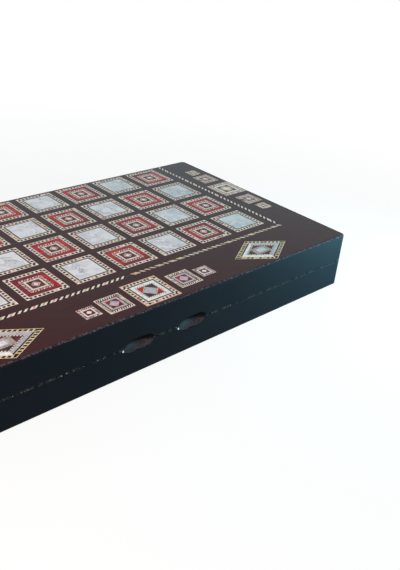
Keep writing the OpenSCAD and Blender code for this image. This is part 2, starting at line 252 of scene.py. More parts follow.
# %% How far inside a point is, and wood grain
def depth_inside(tree, place, extra=0.0):
    """The three parts of a place, and its least distance in metres to an outer side. The rear and both ends
    count as extra mm further in."""
    xyz = add(tree, "ShaderNodeSeparateXYZ", {0: place}).outputs
    off = add(tree, "ShaderNodeMath", {0: xyz["X"]}, operation="ABSOLUTE").outputs[0]
    ends = add(tree, "ShaderNodeMath", {0: (half_x - extra) * MM, 1: off}, operation="SUBTRACT").outputs[0]
    rear = {0: (half_y - extra) * MM, 1: xyz["Y"]}
    rear = add(tree, "ShaderNodeMath", rear, operation="SUBTRACT").outputs[0]
    front = add(tree, "ShaderNodeMath", {0: xyz["Y"], 1: half_y * MM}, operation="ADD").outputs[0]
    least = add(tree, "ShaderNodeMath", {0: ends, 1: rear}, operation="MINIMUM").outputs[0]
    return xyz, add(tree, "ShaderNodeMath", {0: least, 1: front}, operation="MINIMUM").outputs[0]


def grain(tree, place, length, width):
    """Wood grain as a noise stretched along X: length and width are the size of its streaks in mm."""
    along, across = 1 / (length * MM), 1 / (width * MM)
    streaks = {"Vector": place, "Scale": (along, across, across)}
    streaks = add(tree, "ShaderNodeMapping", streaks).outputs[0]
    noise = {"Vector": streaks, "Scale": 1, "Detail": 4, "Roughness": 0.6, "Distortion": 0.4}
    return add(tree, "ShaderNodeTexNoise", noise).outputs["Fac"]


print("outer sides", round(half_x, 1), "and", round(half_y, 1), "mm from the middle")

# %% [markdown]
# The inner faces of the rails are walnut, satin and open grained, which gives the eye warm streaks inside a
# black box. It starts two millimetres inside the outer sides, behind the rounded lips of the seam, so no
# brown shows while the box is closed. The sockets of a mix node share their names, so they can't be told
# apart by them. They go by number, and the numbers get names here.

# %% Lining of the rails
SHARE, UNDER, OVER, MIXED = 0, 6, 7, 2
LINING_DARK, LINING_LIGHT = linear("#3a1f16"), linear("#5f3824")
LINED_FROM, LINED_FULLY = 1.8, 2.1

case, tree, shader, place = new_material("blue black lacquer on fibreboard")
xyz, inside = depth_inside(tree, place)
lining = {SHARE: grain(tree, place, length=60, width=1.6), UNDER: LINING_DARK, OVER: LINING_LIGHT}
lining = add(tree, "ShaderNodeMix", lining, data_type="RGBA").outputs[MIXED]
is_lined = {"Value": inside, "From Min": LINED_FROM * MM, "From Max": LINED_FULLY * MM}
is_lined = add(tree, "ShaderNodeMapRange", is_lined).outputs[0]
print("walnut from", LINED_FULLY, "mm inside")

# %% [markdown]
# Hands rub a box at its edges. The wear could be painted by hand or read from the mesh's curvature, but it
# follows two level lines here, the top edge and the seam, so the height of a point says how worn it is. The
# seam is rubbed less towards the right.

# %% Where the lacquer is worn
EDGE_FROM, EDGE_FULLY = 2.4, 0.7
SEAM_FROM, SEAM_FULLY, SEAM_WEAR = 1.5, 0.7, 0.95
CALM_FROM, CALM_FULLY, CALM_WEAR = 40, 190, 0.82
mid_z = top_z / 2

off_middle = add(tree, "ShaderNodeMath", {0: xyz["Z"], 1: mid_z * MM}, operation="SUBTRACT").outputs[0]
off_middle = add(tree, "ShaderNodeMath", {0: off_middle}, operation="ABSOLUTE").outputs[0]
edge = {"Value": off_middle, "From Min": (mid_z - EDGE_FROM) * MM, "From Max": (mid_z - EDGE_FULLY) * MM}
at_edge = add(tree, "ShaderNodeMapRange", edge).outputs[0]
seam = {"Value": off_middle, "From Min": SEAM_FROM * MM, "From Max": SEAM_FULLY * MM, "To Max": SEAM_WEAR}
at_seam = add(tree, "ShaderNodeMapRange", seam).outputs[0]
calm = {"Value": xyz["X"], "From Min": CALM_FROM * MM, "From Max": CALM_FULLY * MM}
calm = add(tree, "ShaderNodeMapRange", {**calm, "To Min": 1.0, "To Max": CALM_WEAR}).outputs[0]
at_seam = add(tree, "ShaderNodeMath", {0: at_seam, 1: calm}, operation="MULTIPLY").outputs[0]
worn = add(tree, "ShaderNodeMath", {0: at_edge, 1: at_seam}, operation="MAXIMUM").outputs[0]
print("worn within", EDGE_FROM, "mm of the edge and", SEAM_FROM, "mm of the seam's middle")

# %% [markdown]
# Rubbed lacquer on fibreboard breaks into pale specks where the primer shows, a few more at the left, and
# on the lips of the seam into brown dashes that follow the board. A picture of scratches could be laid on,
# but two noises do, one round and one that is the same all the way down. Both are drawn coarser than real
# specks, which would be too fine to show.

# %% Coat of lacquer
LACQUER, LACQUER_WORN, LACQUER_SPECK = linear("#070f15"), linear("#211c1d"), linear("#c4bcb4")
LIP_WORN = linear("#352e2b")
SPECK, SPECK_FROM, SPECK_FULLY, SPECK_COVER = 1.5, 0.57, 0.68, 0.6
LEFT_FROM, LEFT_FULLY, LEFT_MORE = -120, -200, 0.1
DASH, DASH_FROM, DASH_FULLY = 4, 0.45, 0.65

specks = {"Vector": place, "Scale": 1 / (SPECK * MM), "Detail": 3}
specks = add(tree, "ShaderNodeTexNoise", specks).outputs["Fac"]
soft = add(tree, "ShaderNodeMath", {0: specks, 1: at_edge}, operation="MULTIPLY").outputs[0]
rubbed = add(tree, "ShaderNodeMath", {0: specks, 1: worn}, operation="MULTIPLY").outputs[0]
to_left = {"Value": xyz["X"], "From Min": LEFT_FROM * MM, "From Max": LEFT_FULLY * MM, "To Max": LEFT_MORE}
to_left = add(tree, "ShaderNodeMapRange", to_left).outputs[0]
to_left = add(tree, "ShaderNodeMath", {0: to_left, 1: worn}, operation="MULTIPLY").outputs[0]
rubbed = add(tree, "ShaderNodeMath", {0: rubbed, 1: to_left}, operation="ADD").outputs[0]
sharp = {"Value": rubbed, "From Min": SPECK_FROM, "From Max": SPECK_FULLY, "To Max": SPECK_COVER}
sharp = add(tree, "ShaderNodeMapRange", sharp).outputs[0]
dashes = {"Vector": place, "Scale": (1 / (DASH * MM), 1 / (DASH * MM), 1)}
dashes = add(tree, "ShaderNodeMapping", dashes).outputs[0]
dashes = add(tree, "ShaderNodeTexNoise", {"Vector": dashes, "Scale": 1, "Detail": 3}).outputs["Fac"]
dashes = {"Value": dashes, "From Min": DASH_FROM, "From Max": DASH_FULLY}
dashes = add(tree, "ShaderNodeMapRange", dashes).outputs[0]
dashes = add(tree, "ShaderNodeMath", {0: dashes, 1: at_seam}, operation="MULTIPLY").outputs[0]

coat = {SHARE: soft, UNDER: LACQUER, OVER: LACQUER_WORN}
coat = add(tree, "ShaderNodeMix", coat, data_type="RGBA").outputs[MIXED]
for share, colour in ((dashes, LIP_WORN), (sharp, LACQUER_SPECK), (is_lined, lining)):
    coat = {SHARE: share, UNDER: coat, OVER: colour}
    coat = add(tree, "ShaderNodeMix", coat, data_type="RGBA").outputs[MIXED]
print("specks of", SPECK, "mm and dashes of", DASH, "mm")

# %% [markdown]
# Two finger notches are cut across the seam at the front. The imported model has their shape, and only their
# colour differs from the rail's. Their faces could be picked by hand, but four tests on the place of a
# point do it without touching the mesh: near a notch's middle along the board and across it, below the
# outer face, and not as deep as the tray.

# %% Where the finger notches are
NOTCH_X, NOTCH_LONG, NOTCH_TALL, NOTCH_DEEP = 29.3, 32, 12, 7
NOTCH_SPARE = 0.3
CUT_FROM, CUT_FULLY, CUT_PAST = 0.1, 0.4, 1

from_middle = add(tree, "ShaderNodeMath", {0: xyz["X"]}, operation="ABSOLUTE").outputs[0]
along = {0: from_middle, 1: NOTCH_X * MM, 2: (NOTCH_LONG / 2 + NOTCH_SPARE) * MM}
along = add(tree, "ShaderNodeMath", along, operation="COMPARE").outputs[0]
across = {0: off_middle, 1: NOTCH_TALL / 2 * MM}
across = add(tree, "ShaderNodeMath", across, operation="LESS_THAN").outputs[0]
below = {"Value": inside, "From Min": CUT_FROM * MM, "From Max": CUT_FULLY * MM}
below = add(tree, "ShaderNodeMapRange", below).outputs[0]
before = {0: xyz["Y"], 1: (NOTCH_DEEP + CUT_PAST - half_y) * MM}
before = add(tree, "ShaderNodeMath", before, operation="LESS_THAN").outputs[0]
cut = along
for test in (across, below, before):
    cut = add(tree, "ShaderNodeMath", {0: cut, 1: test}, operation="MULTIPLY").outputs[0]
print("notches", 2 * NOTCH_X, "mm apart")

# %% [markdown]
# The notches were milled after spraying. Their floor, which faces up, is rubbed grey and mottled, which gives
# the eye bare pressed fibres. Every other face of the cut is painted black, as painted shade, because it
# doesn't face up to the light. Faces of the floor turned towards +X, at the left end, are darker and browner.
# The direction of the face, read in the board's own axes, tells these apart.

# %% Fibres and painted shade of the notches
# The first colour is painted shade for the faces of a cut that don't face up. The second darkens and browns
# the floor at the left end.
NOTCH_PAINTED_SHADE, NOTCH_END = linear("#0d0d11"), linear("#221b1a")
NOTCH_DARK, NOTCH_LIGHT = linear("#262529"), linear("#4a474c")
UP_FROM, UP_FULLY = 0.1, 0.5
END_FROM, END_FULLY, END_SHARE = 0.0, 0.5, 0.85


def patches(tree, place, size, start, end, **noise):
    """Patches of a size in mm: a noise that is 0 below start, 1 above end and soft between them."""
    noise = {"Vector": place, "Scale": 1 / (size * MM), "Detail": 3, **noise}
    noise = add(tree, "ShaderNodeTexNoise", noise).outputs["Fac"]
    return add(tree, "ShaderNodeMapRange", {"Value": noise, "From Min": start, "From Max": end}).outputs[0]


facing = add(tree, "ShaderNodeTexCoord").outputs["Normal"]
facing = add(tree, "ShaderNodeSeparateXYZ", {0: facing}).outputs
up_facing_unshaded = {"Value": facing["Z"], "From Min": UP_FROM, "From Max": UP_FULLY}
up_facing_unshaded = add(tree, "ShaderNodeMapRange", up_facing_unshaded).outputs[0]
to_end = {"Value": facing["X"], "From Min": END_FROM, "From Max": END_FULLY, "To Max": END_SHARE}
to_end = add(tree, "ShaderNodeMapRange", to_end).outputs[0]
fibres = patches(tree, place, size=1.2, start=0.38, end=0.62, Roughness=0.7)
board = {SHARE: fibres, UNDER: NOTCH_DARK, OVER: NOTCH_LIGHT}
board = add(tree, "ShaderNodeMix", board, data_type="RGBA").outputs[MIXED]
board = {SHARE: to_end, UNDER: board, OVER: NOTCH_END}
board = add(tree, "ShaderNodeMix", board, data_type="RGBA").outputs[MIXED]
# Faces that don't face up get the painted shade.
board = {SHARE: up_facing_unshaded, UNDER: NOTCH_PAINTED_SHADE, OVER: board}
board = add(tree, "ShaderNodeMix", board, data_type="RGBA").outputs[MIXED]
coat = {SHARE: cut, UNDER: coat, OVER: board}
coat = add(tree, "ShaderNodeMix", coat, data_type="RGBA").outputs[MIXED]
print("notches with painted shade")

# %% [markdown]
# Each notch has a small pale patch at the lower lip of its left end: a painted highlight, where that lip
# catches the light. It is under two millimetres long, so a patch of colour is enough. One test finds both:
# adding half a notch to X puts both left ends at the same distance from the middle.

# %% Painted highlights at the notches
# A pale patch painted as a highlight on the lower lip at the left end of each notch.
NOTCH_HIGHLIGHT, HIGHLIGHT_LONG, HIGHLIGHT_TALL, HIGHLIGHT_DROP = linear("#c9c4bd"), 0.9, 0.8, 2

left_end = add(tree, "ShaderNodeMath", {0: xyz["X"], 1: NOTCH_LONG / 2 * MM}, operation="ADD").outputs[0]
left_end = add(tree, "ShaderNodeMath", {0: left_end}, operation="ABSOLUTE").outputs[0]
highlight_x = {0: left_end, 1: NOTCH_X * MM, 2: HIGHLIGHT_LONG * MM}
highlight_x = add(tree, "ShaderNodeMath", highlight_x, operation="COMPARE").outputs[0]
highlight_z = {0: xyz["Z"], 1: (mid_z - HIGHLIGHT_DROP) * MM, 2: HIGHLIGHT_TALL * MM}
highlight_z = add(tree, "ShaderNodeMath", highlight_z, operation="COMPARE").outputs[0]
painted_highlight = add(tree, "ShaderNodeMath", {0: highlight_x, 1: highlight_z}, operation="MULTIPLY").outputs[0]
painted_highlight = add(tree, "ShaderNodeMath", {0: painted_highlight, 1: before}, operation="MULTIPLY").outputs[0]
coat = {SHARE: painted_highlight, UNDER: coat, OVER: NOTCH_HIGHLIGHT}
coat = add(tree, "ShaderNodeMix", coat, data_type="RGBA").outputs[MIXED]
feed(shader, {"Base Color": coat})
print("painted highlights", 2 * HIGHLIGHT_LONG, "mm long")

# %% [markdown]
# Sprayed lacquer has no grain, only a slight orange peel, which gives the eye a soft, uneven gloss. The
# peel could be real bumps in the mesh, but it is only hundredths of a millimetre high, so one noise drives
# both the bump and the roughness. Milled and rubbed places are dull. In the photograph's even light all
# gloss is faint, so the specular levels here and below are low.

# %% Gloss of the case
PEEL, PEEL_HIGH, PEEL_STRENGTH = 2.5, 0.2, 0.1
GLOSS_LOW, GLOSS_HIGH, MILLED_ROUGH, WORN_ROUGH = 0.38, 0.5, 0.75, 0.8
LACQUER_IOR, LACQUER_SPECULAR = 1.4, 0.06
UNDER_NUMBER, OVER_NUMBER = 2, 3

peel = {"Vector": place, "Scale": 1 / (PEEL * MM), "Detail": 2}
peel = add(tree, "ShaderNodeTexNoise", peel).outputs["Fac"]
rough = {"Value": peel, "To Min": GLOSS_LOW, "To Max": GLOSS_HIGH}
rough = add(tree, "ShaderNodeMapRange", rough).outputs[0]
for share, dull in ((cut, MILLED_ROUGH), (worn, WORN_ROUGH)):
    rough = add(tree, "ShaderNodeMix", {SHARE: share, UNDER_NUMBER: rough, OVER_NUMBER: dull}).outputs[0]
bump = {"Height": peel, "Strength": PEEL_STRENGTH, "Distance": PEEL_HIGH * MM}
bump = add(tree, "ShaderNodeBump", bump).outputs[0]
feed(shader, {"Roughness": rough, "Normal": bump})
feed(shader, {"Specular IOR Level": LACQUER_SPECULAR, "IOR": LACQUER_IOR})
print("roughness", GLOSS_LOW, "to", WORN_ROUGH)

# %% [markdown]
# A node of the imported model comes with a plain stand-in finish. A dressed copy could hide it, but then two
# surfaces would lie in one place. So the node keeps its mesh, and only its material slots change.

# %% Rails and panels
HALVES = ("upper", "lower")


def dress(name, material):
    """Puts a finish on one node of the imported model, in place of the one it came with."""
    slots = nodes[name].data.materials
    slots.clear()
    slots.append(material)


for name in ("panel", "front_rail", "hinge_rail", "left_rail", "right_rail"):
    for half in HALVES:
        dress(f"{half}_{name}", case)
print(case.users, "nodes lacquered")

# %% [markdown]
# ## Brown veneer
# The ground of both outer faces is a reddish brown veneer under satin lacquer, which gives the eye a dim,
# warm surface with faint grain along the hinge. At the rounded edges the black of the sides laps over it in
# an uneven line, which is narrower at the front. Its mottled grey is partly rubbed lacquer and partly a
# painted highlight, where the rounding catches the light. A straight line would look printed, so a noise moves
# it in and out.

# %% Veneer of the outer faces
VENEER_DARK, VENEER_LIGHT = linear("#331414"), linear("#482222")
# The light tone of the lap is partly rubbed lacquer and partly a painted highlight along the rounded edge.
LAP_DARK, LAP_GREY_AND_HIGHLIGHT = linear("#221c20"), linear("#544a52")
LAP, SIDE_EXTRA, RAGGED, LAP_SOFT = 2.1, 0.5, 1.5, 0.6
WANDER = 1.6
SATIN_LOW, SATIN_HIGH, LAP_ROUGH, SATIN_SPECULAR = 0.2, 0.3, 0.85, 0.03

veneer, tree, shader, place = new_material("reddish brown veneer under satin lacquer")
_, inside = depth_inside(tree, place, SIDE_EXTRA)
ground = {SHARE: grain(tree, place, length=45, width=1.2), UNDER: VENEER_DARK, OVER: VENEER_LIGHT}
ground = add(tree, "ShaderNodeMix", ground, data_type="RGBA").outputs[MIXED]
wander = {"Vector": place, "Scale": 1 / (WANDER * MM), "Detail": 4, "Roughness": 0.65}
wander = add(tree, "ShaderNodeTexNoise", wander).outputs["Fac"]
drift = {0: wander, 1: -2 * RAGGED * MM, 2: RAGGED * MM}
drift = add(tree, "ShaderNodeMath", drift, operation="MULTIPLY_ADD").outputs[0]
line = add(tree, "ShaderNodeMath", {0: inside, 1: drift}, operation="ADD").outputs[0]
lapped = {"Value": line, "From Min": LAP * MM, "From Max": (LAP - LAP_SOFT) * MM}
lapped = add(tree, "ShaderNodeMapRange", lapped).outputs[0]
# Grey flecks on the lap: rubbed lacquer and, in part, a painted highlight.
flecks_and_highlight = patches(tree, place, size=2.2, start=0.42, end=0.6)
rubbed = {SHARE: flecks_and_highlight, UNDER: LAP_DARK, OVER: LAP_GREY_AND_HIGHLIGHT}
rubbed = add(tree, "ShaderNodeMix", rubbed, data_type="RGBA").outputs[MIXED]
ground = {SHARE: lapped, UNDER: ground, OVER: rubbed}
ground = add(tree, "ShaderNodeMix", ground, data_type="RGBA").outputs[MIXED]
satin = {"Value": wander, "To Min": SATIN_LOW, "To Max": SATIN_HIGH}
satin = add(tree, "ShaderNodeMapRange", satin).outputs[0]
satin = add(tree, "ShaderNodeMix", {SHARE: lapped, UNDER_NUMBER: satin, OVER_NUMBER: LAP_ROUGH}).outputs[0]
feed(shader, {"Base Color": ground, "Roughness": satin, "Specular IOR Level": SATIN_SPECULAR})

for name in ("field_veneer", "front_border", "left_border", "right_border"):
    for half in HALVES:
        dress(f"{half}_{name}", veneer)
print("the front lap is", SIDE_EXTRA, "mm narrower than the others")

# %% [markdown]
# ## Woods and shell of the marquetry
# The bandings and ornaments are sliced from rods of dyed wood and bone. Slices show end grain, which gives
# the eye small even patches without streaks. A picture of wood could be repeated over them, but a noise
# never repeats, so each colour wanders between a dark and a light tone. Its patches are some millimetres
# wide, because real pores would be too fine to show.

# %% Dyed woods and bone
INLAY_ROUGH, INLAY_SPECULAR = 0.35, 0.04


def marquetry(name, dark, light, size):
    """A dyed wood or bone whose colour wanders between two tones in patches of a size in mm."""
    material, tree, shader, place = new_material(name)
    lighter = patches(tree, place, size, start=0.35, end=0.65, Roughness=0.6)
    tone = {SHARE: lighter, UNDER: linear(dark), OVER: linear(light)}
    tone = add(tree, "ShaderNodeMix", tone, data_type="RGBA").outputs[MIXED]
    feed(shader, {"Base Color": tone, "Roughness": INLAY_ROUGH, "Specular IOR Level": INLAY_SPECULAR})
    return material


FINISHES = {
    "cream": marquetry("cream lemonwood", "#dfc2ad", "#fbeadf", 3),
    "peach": marquetry("peach dyed sycamore", "#cfa48c", "#ebc9b6", 3),
    "white": marquetry("bleached bone", "#d2cfca", "#f6f3ee", 3),
    "ivory": marquetry("ivory holly", "#d8c9b8", "#f4eade", 3),
    "beige": marquetry("beige sycamore", "#8a6f62", "#bfa494", 2.5),
    "straw": marquetry("straw coloured boxwood", "#c8ae86", "#ead7b4", 3),
    "black": marquetry("ebonised pearwood", "#080606", "#171111", 2),
    "umber": marquetry("smoked oak", "#2c1c1a", "#4e3833", 3),
    "red": marquetry("red dyed sycamore", "#7c1118", "#c4252e", 7),
    "crimson": marquetry("crimson dyed maple", "#5c121c", "#86202d", 4),
    "maroon": marquetry("padauk", "#431a20", "#6e2a31", 4),
    "pink": marquetry("pink dyed sycamore", "#b98a8a", "#dfb9b6", 3),
    "orange": marquetry("orange dyed sycamore", "#c07a58", "#dfa280", 3),
    "green": marquetry("green dyed sycamore", "#9c9c68", "#c4c394", 3),
    "grey": marquetry("silver grey maple", "#857a78", "#b5a9a4", 2.5),
    "lilac": marquetry("lilac grey maple", "#aa9ca3", "#d2c6cc", 3),
}
print(len(FINISHES), "dyed woods and bone")

# %% [markdown]
# Mother of pearl, cut thin and polished, gives the eye a cool milky plate with drifting veins of grey and
# lilac. Clear layers over one another would be truer, and slow. Two noises are enough: a broad one bends
# the place where a fine one is read, which draws the veins out into wisps, as marble is often made.

# %% Mother of pearl
# Towards the right of the board milk and haze turn darker and cooler: painted shade where the light falls off,
# and a painted cool reflection.
SHADED_MILK, SHADED_HAZE = linear("#c2c9c8"), linear("#84969c")
SHADE_FROM, SHADE_FULLY, SHADE_SHARE = 60, 190, 0.7
BROAD, BEND = 2.2, 3.5
HAZE_FROM, HAZE_FULLY = 0.45, 0.75
VEIN_WIDE, VEIN_COVER, VEINS_FROM, VEINS_FULLY = 0.04, 0.75, 0.45, 0.6
SHELL_ROUGH, SHELL_SPECULAR = 0.3, 0.05


def shell(name, milk, haze, vein, size):
    """Pearl whose haze and veins follow a fine noise of a size in mm, read at a place that a broad noise has
    bent. A vein runs where the fine noise is near its middle and the broad one is high. Towards the right of
    the board milk and haze turn to darker, cooler greys, which are painted shade and a painted cool
    reflection."""
    material, tree, shader, place = new_material(name)
    broad = {"Vector": place, "Scale": 1 / (BROAD * size * MM), "Detail": 2}
    broad = add(tree, "ShaderNodeTexNoise", broad).outputs
    bend = {0: broad["Color"], 1: (0.5, 0.5, 0.5)}
    bend = add(tree, "ShaderNodeVectorMath", bend, operation="SUBTRACT").outputs[0]
    bend = {0: bend, "Scale": BEND * size * MM}
    bend = add(tree, "ShaderNodeVectorMath", bend, operation="SCALE").outputs[0]
    bent = add(tree, "ShaderNodeVectorMath", {0: place, 1: bend}, operation="ADD").outputs[0]
    fine = {"Vector": bent, "Scale": 1 / (size * MM), "Detail": 5, "Roughness": 0.6}
    fine = add(tree, "ShaderNodeTexNoise", fine).outputs["Fac"]
    cloud = {"Value": fine, "From Min": HAZE_FROM, "From Max": HAZE_FULLY}
    cloud = add(tree, "ShaderNodeMapRange", cloud).outputs[0]
    x = add(tree, "ShaderNodeSeparateXYZ", {0: place}).outputs["X"]
    # Painted shade and cool reflection, stronger towards the right of the board.
    painted_shade = {"Value": x, "From Min": SHADE_FROM * MM, "From Max": SHADE_FULLY * MM, "To Max": SHADE_SHARE}
    painted_shade = add(tree, "ShaderNodeMapRange", painted_shade).outputs[0]
    milky = {SHARE: painted_shade, UNDER: linear(milk), OVER: SHADED_MILK}
    milky = add(tree, "ShaderNodeMix", milky, data_type="RGBA").outputs[MIXED]
    hazy = {SHARE: painted_shade, UNDER: linear(haze), OVER: SHADED_HAZE}
    hazy = add(tree, "ShaderNodeMix", hazy, data_type="RGBA").outputs[MIXED]
    ridge = add(tree, "ShaderNodeMath", {0: fine, 1: 0.5}, operation="SUBTRACT").outputs[0]
    ridge = add(tree, "ShaderNodeMath", {0: ridge}, operation="ABSOLUTE").outputs[0]
    wisp = {"Value": ridge, "From Min": VEIN_WIDE, "From Max": 0.0, "To Max": VEIN_COVER}
    wisp = add(tree, "ShaderNodeMapRange", wisp).outputs[0]
    gate = {"Value": broad["Fac"], "From Min": VEINS_FROM, "From Max": VEINS_FULLY}
    gate = add(tree, "ShaderNodeMapRange", gate).outputs[0]
    wisp = add(tree, "ShaderNodeMath", {0: wisp, 1: gate}, operation="MULTIPLY").outputs[0]
    body = milky
    for share, colour in ((cloud, hazy), (wisp, linear(vein))):
        body = {SHARE: share, UNDER: body, OVER: colour}
        body = add(tree, "ShaderNodeMix", body, data_type="RGBA").outputs[MIXED]
    feed(shader, {"Base Color": body, "Roughness": SHELL_ROUGH, "Specular IOR Level": SHELL_SPECULAR})
    return material


FINISHES["pearl"] = shell("marbled mother of pearl", "#e6e3e7", "#bdc0c6", "#877e88", 9)
FINISHES["silver"] = shell("silvery mother of pearl", "#bcb9c0", "#96959d", "#7b7782", 4)
CODES = list(FINISHES)
print("finishes:", ", ".join(CODES))

# %% [markdown]
# ## Patterns as arrays
# Every motif is a flat jigsaw of small polygons about its own middle, in millimetres. Drawing each by hand
# would take days. A band round a square is only one side's cells and three turned copies of them, so a few
# functions on whole arrays make them all.

# %% Outlines and belts
QUARTERS = np.array([[[1, 0], [0, 1]], [[0, 1], [-1, 0]], [[-1, 0], [0, -1]], [[0, -1], [1, 0]]])


def all_round(side):
    """Polygons of one side, followed by the same turned by one, two and three quarter turns."""
    return np.einsum("nki,tij->tnkj", side, QUARTERS).reshape(-1, *side.shape[1:])


def square(half):
    """Corners of a square about the origin, anticlockwise from the front left."""
    return half * np.array([[-1, -1], [1, -1], [1, 1], [-1, 1]], float)


def cut_square(half, cut):
    """A square that loses a length of cut from both sides of each corner. It starts at the front right."""
    return all_round(np.array([[[half - cut, -half], [half, cut - half]]])).reshape(-1, 2)


def belt(outer, inner):
    """Quads between two outlines with as many points: points k and k + 1 of both. Between two squares they
    are its front, right, rear and left side."""
    return np.stack([outer, np.roll(outer, -1, 0), np.roll(inner, -1, 0), inner], axis=1)


def cells(outer, inner, widths, lean=0.0):
    """A band between two squares: cells in the ratio of the widths fill each side, and their cuts lean by a
    length along it."""
    ends = np.r_[0, np.cumsum(widths)] / np.sum(widths)
    low = ends * (outer + inner + lean) - inner - lean
    low, high = np.clip([low, low + lean], -inner, outer)
    front = np.stack([low[:-1], low[1:], high[1:], high[:-1]], axis=1)
    depth = np.broadcast_to([-outer, -outer, -inner, -inner], front.shape)
    return all_round(np.stack([front, depth], axis=2))


print("a band of 18 cells a side has", len(cells(19, 17, np.ones(18))), "cells")

# %% [markdown]
# A layer is an array of polygons with one finish for each, and a motif is a list of layers that fill it
# without a gap. Finishes go by their number, so a whole layer is painted at once. A maker takes the next
# rod at hand, so some cells change colour by chance. The dice are seeded, and fall the same way every time.

# %% Layers with their finishes
SEED = 48
dice = np.random.default_rng(SEED)


def paint(polygons, finish):
    """A layer: the polygons, and the finish of each as a number. One name serves them all."""
    return polygons, np.broadcast_to([CODES.index(f) for f in np.atleast_1d(finish)], len(polygons))


def lines(half, start, *rings):
    """Plain rings, one inside the other: each has its inner edge, in mm from the motif's, and its finish."""
    starts = [start] + [end for end, _ in rings]
    return [paint(belt(square(half - s), square(half - e)), f) for s, (e, f) in zip(starts, rings)]


def studs(half, start, end, count, finishes, dyed=(), chance=0.0, lean=0.0, widths=(1,)):
    """A band whose cells take the finishes in turn, with a dyed one in place of some by chance."""
    polygons = cells(half - start, half - end, np.resize(widths, count), lean)
    names = np.array(finishes)[np.arange(len(polygons)) % count % len(finishes)]
    if dyed:
        names = np.where(dice.random(len(names)) < chance, dice.choice(dyed, len(names)), names)
    return paint(polygons, names)


def corners(half, cut, finishes):
    """What a cut square leaves of its square, at its front right, rear right, rear left and front left."""
    return paint(belt(cut_square(half, 0), cut_square(half, cut))[::2], finishes)


def plate(rims, core):
    """Cut squares one inside the other: half, cut and finish of the outer edge of each rim and of the core.
    Eight finishes go round from the front right corner."""
    layers = []
    for (half, cut, finish), (next_half, next_cut, _) in zip(rims, [*rims[1:], core]):
        layers.append(paint(belt(cut_square(half, cut), cut_square(next_half, next_cut)), finish))
    return [*layers, paint(cut_square(*core[:2])[None], core[2])]


print("a cut square leaves", len(corners(1.0, 0.5, "black")[0]), "corners")

# %% [markdown]
# ## Chess squares
# A light square is a plate of mother of pearl in a banding of cream with black studs. A dark square has a
# studded banding, a broad red ring, beads and dashes of mixed woods, and a small plate of bleached bone on
# beige, pink and maroon. The rings are measured in mm from the edge of the square, as a maker would stack
# their rods, because that keeps each width plain to see.

# %% Chess squares
SQUARE_W = 39.8
STUDDED = (2.4, 1.7)


def pearl_square():
    """Cream line, studs, cream line, black line and pearl."""
    half = SQUARE_W / 2
    return [
        *lines(half, 0, (0.8, "cream")),
        studs(half, 0.8, 3.3, 18, ["black", "cream"], ("pink", "orange", "green"), 0.1, widths=STUDDED),
        *lines(half, 3.3, (4.2, "cream"), (5.6, "black")),
        paint(square(half - 5.6)[None], "pearl"),
    ]


def red_square():
    """Cream line, studs, two lines, the red ring, leaning dashes, beads, a cream ring and a bone heart."""
    half = SQUARE_W / 2
    return [
        *lines(half, 0, (0.7, "cream")),
        studs(half, 0.7, 3.2, 18, ["black", "cream"], ("pink", "green"), 0.1, widths=STUDDED),
        *lines(half, 3.2, (4.1, "cream"), (4.4, "umber")),
        paint(belt(square(half - 4.4), square(half - 8.8)), dice.choice(["red", "red", "crimson"], 4)),
        studs(half, 8.8, 10.8, 16, ["cream", "maroon", "pink", "maroon"], lean=1.2, widths=STUDDED),
        studs(half, 10.8, 12.0, 10, ["beige", "maroon"]),
        *lines(half, 12.0, (13.7, "cream"), (14.1, "umber")),
        corners(5.8, 1.8, "maroon"),
        *plate([(5.8, 1.8, "maroon"), (4.1, 3.5, "pink"), (3.1, 2.7, "beige")], (2.0, 1.6, "white")),
    ]


for motif in (pearl_square, red_square):
    print(motif.__name__, sum(len(polygons) for polygons, _ in motif()), "small pieces")

# %% [markdown]
# ## Ornaments
# The large front ornament has the studded banding, a white ring with a beaded inner edge, and a diamond
# plate of silvery shell whose corners are filled with red and umber. The medium and the small one are
# simpler. Scaling one motif to three sizes would be shorter, but real bandings are as thick on all three.

# %% Front ornaments
LARGE, MEDIUM, SMALL = 37.6, 24.3, 15.5


def front_large():
    """Peach line, studs, cream and black lines, a white ring, beads, and silvery shell in a narrow rim."""
    half = LARGE / 2
    shell_heart = (6.8, 6.5, "silver")
    return [
        *lines(half, 0, (1.2, "peach")),
        studs(half, 1.2, 3.6, 18, ["black", "cream"], ("orange", "pink", "green"), 0.12, widths=STUDDED),
        *lines(half, 3.6, (4.5, "cream"), (5.9, "black"), (9.0, "white")),
        studs(half, 9.0, 10.4, 18, ["grey", "white"], lean=1.2),
        corners(8.4, 8.2, ["red", "umber", "red", "umber"]),
        *plate([(8.4, 8.2, ["peach", "umber", "maroon", "umber"] * 2), (7.3, 7.1, "umber")], shell_heart),
    ]


def front_medium():
    """Cream line, leaning studs, a black line, a lilac ring, and crimson, pink and shell in its heart."""
    half = MEDIUM / 2
    return [
        *lines(half, 0, (0.6, "cream")),
        studs(half, 0.6, 3.3, 20, ["black", "cream"], ("pink", "peach"), 0.12, lean=1.2),
        *lines(half, 3.3, (4.3, "black"), (6.4, "lilac")),
        corners(5.75, 5.0, ["crimson", "maroon", "red", "maroon"]),
        *plate([(5.75, 5.0, "crimson"), (4.6, 4.1, "pink"), (3.6, 3.2, "silver")], (2.0, 1.7, "silver")),
    ]


def front_small():
    """Pink line, leaning studs, an umber line, a white ring, and bone in crimson."""
    half = SMALL / 2
    return [
        *lines(half, 0, (0.3, "pink")),
        studs(half, 0.3, 2.2, 16, ["umber", "cream"], ("pink", "grey"), 0.5, lean=0.8),
        *lines(half, 2.2, (2.5, "umber"), (3.8, "white")),
        corners(3.95, 1.3, "maroon"),
        *plate([(3.95, 1.3, "crimson")], (2.3, 2.0, "white")),
    ]


print("front ornaments", LARGE, MEDIUM, "and", SMALL, "mm wide")

